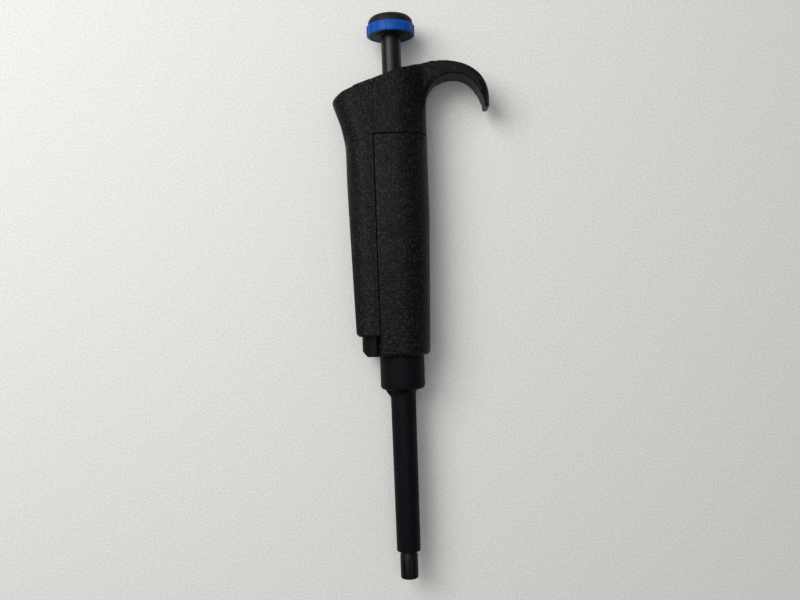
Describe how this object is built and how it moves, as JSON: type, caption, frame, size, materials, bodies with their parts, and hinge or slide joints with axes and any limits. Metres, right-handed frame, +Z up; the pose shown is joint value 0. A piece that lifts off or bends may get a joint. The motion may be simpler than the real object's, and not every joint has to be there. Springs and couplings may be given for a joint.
{
  "type": "adjustable pipette",
  "caption": "Hand-held adjustable single-channel pipette with a push button, finger-rest hook, thumb ejector strip, ejector sleeve and fluted tip cone.",
  "frame": {"origin": "under the middle of the pipette as it lies on its side, at the surface it rests on", "axes": "+Y runs along the plunger axis from the tip cone to the push button, +X points from the ejector strip to the finger hook, +Z is up from the surface it lies on"},
  "size_m": [0.0658, 0.2354, 0.0246],
  "materials": {
    "grained_black": "fine spark-eroded grain",
    "satin_black": "satin",
    "cone_black": "satin",
    "stem_black": "semi-gloss",
    "button_black": "satin",
    "ring_blue": "satin",
    "clear_window": "clear, polished",
    "white_plastic": "satin",
    "steel": "ground",
    "brass": "turned",
    "rubber_black": "matte"
  },
  "bodies": {
    "handle": {"grip_body": "grained_black", "finger_rest_head": "grained_black", "ejector_guide": "satin_black", "display_window": "clear_window", "counter_frame": "white_plastic", "frame_screws": "steel", "head_screws": "steel", "pinion_shaft": "steel", "volume_nut": "brass", "brake_ring": "rubber_black", "stem_bush": "stem_black", "tip_cone": "cone_black", "cylinder_nut": "steel", "spring_seat": "steel", "blowout_spring": "steel", "piston_spring": "steel", "ejector_spring": "steel"},
    "ejector": {"thumb_ejector": "grained_black", "ejector_arm": "satin_black", "ejector_sleeve": "satin_black"},
    "volume_drive": {"drive_sleeve": "white_plastic", "tens_ring": "white_plastic"},
    "hundreds_wheel": {"hundreds_ring": "white_plastic"},
    "thousands_wheel": {"thousands_ring": "white_plastic"},
    "low_pinion": {"carry_pinion_low": "steel"},
    "high_pinion": {"carry_pinion_high": "steel"},
    "stop_screw": {"volume_screw": "brass"},
    "plunger": {"plunger_stem": "stem_black", "drive_rod": "steel", "stop_collar": "steel", "piston": "steel", "piston_seal": "rubber_black", "button_core": "button_black", "colour_ring": "ring_blue", "button_cap": "button_black"}
  },
  "joints": [
    {"name": "screw_travel", "type": "slide", "parent": "volume_drive", "child": "stop_screw", "axis": [0, 1, 0], "range_m": [-0.00472, 0.0059]},
    {"name": "volume_turn", "type": "hinge", "parent": "handle", "child": "volume_drive", "pos_m": [-0.0072, 0, 0.0123], "axis": [0, 1, 0], "range_deg": [-1440, 1800]},
    {"name": "plunger_press", "type": "slide", "parent": "stop_screw", "child": "plunger", "axis": [0, -1, 0], "range_m": [0, 0.0079], "stiffness_N_per_m": 250, "springref_m": -0.008, "deforming": ["piston_spring", "blowout_spring"]},
    {"name": "ejector_press", "type": "slide", "parent": "handle", "child": "ejector", "axis": [0, -1, 0], "range_m": [0, 0.0084], "stiffness_N_per_m": 300, "springref_m": -0.007, "deforming": ["ejector_spring"]},
    {"name": "hundreds_turn", "type": "hinge", "parent": "handle", "child": "hundreds_wheel", "pos_m": [-0.0072, 0, 0.0123], "axis": [0, 1, 0], "range_deg": [-144, 180]},
    {"name": "thousands_turn", "type": "hinge", "parent": "handle", "child": "thousands_wheel", "pos_m": [-0.0072, 0, 0.0123], "axis": [0, 1, 0], "range_deg": [-14.4, 18]},
    {"name": "low_pinion_turn", "type": "hinge", "parent": "handle", "child": "low_pinion", "pos_m": [0.00146, 0, 0.0123], "axis": [0, 1, 0], "range_deg": [-600, 480]},
    {"name": "high_pinion_turn", "type": "hinge", "parent": "handle", "child": "high_pinion", "pos_m": [0.00146, 0, 0.0123], "axis": [0, 1, 0], "range_deg": [-60, 48]}
  ],
  "couplings": [
    {"joint": "volume_turn", "follows": "screw_travel", "rad_per_m": 5324.7},
    {"joint": "hundreds_turn", "follows": "screw_travel", "rad_per_m": 532.47},
    {"joint": "thousands_turn", "follows": "screw_travel", "rad_per_m": 53.247},
    {"joint": "low_pinion_turn", "follows": "screw_travel", "rad_per_m": -1774.9},
    {"joint": "high_pinion_turn", "follows": "screw_travel", "rad_per_m": -177.49}
  ]
}
